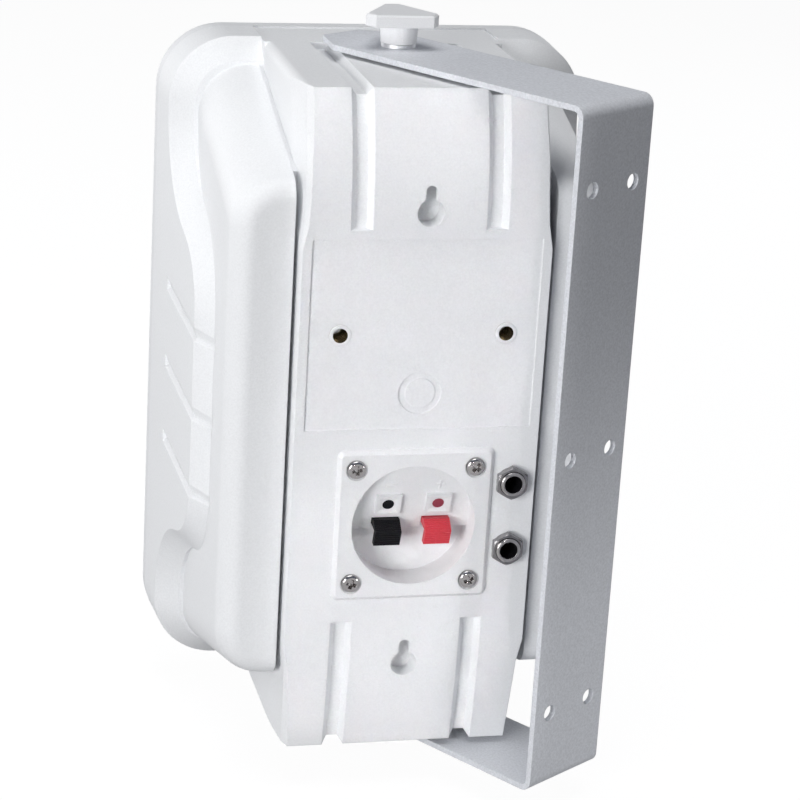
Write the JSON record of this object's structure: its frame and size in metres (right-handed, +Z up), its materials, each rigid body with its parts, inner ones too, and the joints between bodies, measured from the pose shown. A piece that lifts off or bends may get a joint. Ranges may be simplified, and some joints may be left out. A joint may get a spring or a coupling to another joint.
{
  "type": "outdoor wall speaker",
  "caption": "Two-way outdoor wall speaker in a moulded white cabinet with winged sides, hung in a swivelling U-bracket with clamping knobs, spring terminals and jack sockets.",
  "frame": {"origin": "midway between the two rear threaded inserts, on the flat rear face", "axes": "+Y out of the back of the cabinet, +Z up, +X towards the black terminal"},
  "size_m": [0.1868, 0.185, 0.3269],
  "materials": {
    "cabinet_plastic": "satin moulded white plastic",
    "baffle_plastic": "satin moulded white plastic",
    "grille_paint": "white powder coat",
    "bracket_paint": "white-grey powder coat",
    "knob_plastic": "satin moulded white plastic",
    "terminal_plastic": "satin moulded white plastic",
    "black_plastic": "gloss black",
    "red_plastic": "gloss red",
    "screw_steel": "plated steel",
    "driver_steel": "black coat on steel",
    "motor_steel": "zinc plated steel",
    "ferrite": "matt dark grey ceramic",
    "cone_paper": "matt black pulp",
    "silk": "coated cloth",
    "surround_rubber": "matt black rubber",
    "coil_copper": "enamelled copper",
    "board_resin": "green board",
    "capacitor_sleeve": "gloss sleeve",
    "insert_brass": "plain brass",
    "contact_brass": "tinned brass",
    "jack_plastic": "matt black",
    "nut_plate": "bright nickel",
    "washer_rubber": "matt rubber"
  },
  "bodies": {
    "bracket": {"u_bracket": "bracket_paint", "clamp_washers": "screw_steel"},
    "upper_knob": {"upper_knob": "knob_plastic", "upper_knob_stud": "screw_steel"},
    "lower_knob": {"lower_knob": "knob_plastic", "lower_knob_stud": "screw_steel"},
    "black_lever": {"black_lever": "black_plastic"},
    "red_lever": {"red_lever": "red_plastic"},
    "cone": {"woofer_cone": "cone_paper", "woofer_voice_coil": "coil_copper", "woofer_dust_cap": "cone_paper"},
    "cabinet": {"rear_cabinet": "cabinet_plastic", "front_baffle": "baffle_plastic", "grille": "grille_paint", "baffle_screws": "screw_steel", "woofer_basket": "driver_steel", "woofer_front_plate": "motor_steel", "woofer_magnet": "ferrite", "woofer_yoke": "motor_steel", "woofer_surround": "surround_rubber", "woofer_spider": "silk", "woofer_screws": "screw_steel", "tweeter_faceplate": "driver_steel", "tweeter_dome": "silk", "tweeter_magnet": "ferrite", "tweeter_screws": "screw_steel", "crossover_board": "board_resin", "crossover_coil": "coil_copper", "crossover_capacitor": "capacitor_sleeve", "terminal_plate": "terminal_plastic", "terminal_screws": "screw_steel", "terminal_tags": "contact_brass", "lever_pins": "screw_steel", "upper_jack": "jack_plastic", "lower_jack": "jack_plastic", "jack_nuts": "nut_plate", "jack_washers": "nut_plate", "rear_inserts": "insert_brass", "pivot_inserts": "insert_brass", "friction_washers": "washer_rubber"}
  },
  "joints": [
    {"name": "swivel", "type": "hinge", "parent": "bracket", "child": "cabinet", "pos_m": [0, -0.074, -0.0433], "axis": [0, 0, 1], "continuous": true},
    {"name": "upper_knob_turn", "type": "hinge", "parent": "cabinet", "child": "upper_knob", "pos_m": [0, -0.074, 0.1004], "axis": [0, 0, 1], "range_deg": [0, 360]},
    {"name": "lower_knob_turn", "type": "hinge", "parent": "cabinet", "child": "lower_knob", "pos_m": [0, -0.074, -0.187], "axis": [0, 0, -1], "range_deg": [0, 360]},
    {"name": "black_lever_push", "type": "hinge", "parent": "cabinet", "child": "black_lever", "pos_m": [0.01, -0.0092, -0.0848], "axis": [-1, 0, 0], "range_deg": [0, 18], "stiffness_Nm_per_rad": 0.1},
    {"name": "red_lever_push", "type": "hinge", "parent": "cabinet", "child": "red_lever", "pos_m": [-0.0116, -0.0092, -0.0848], "axis": [-1, 0, 0], "range_deg": [0, 18], "stiffness_Nm_per_rad": 0.1},
    {"name": "cone_travel", "type": "slide", "parent": "cabinet", "child": "cone", "axis": [0, -1, 0], "range_m": [-0.003, 0.003], "stiffness_N_per_m": 1700, "deforming": ["woofer_surround", "woofer_spider"]}
  ]
}
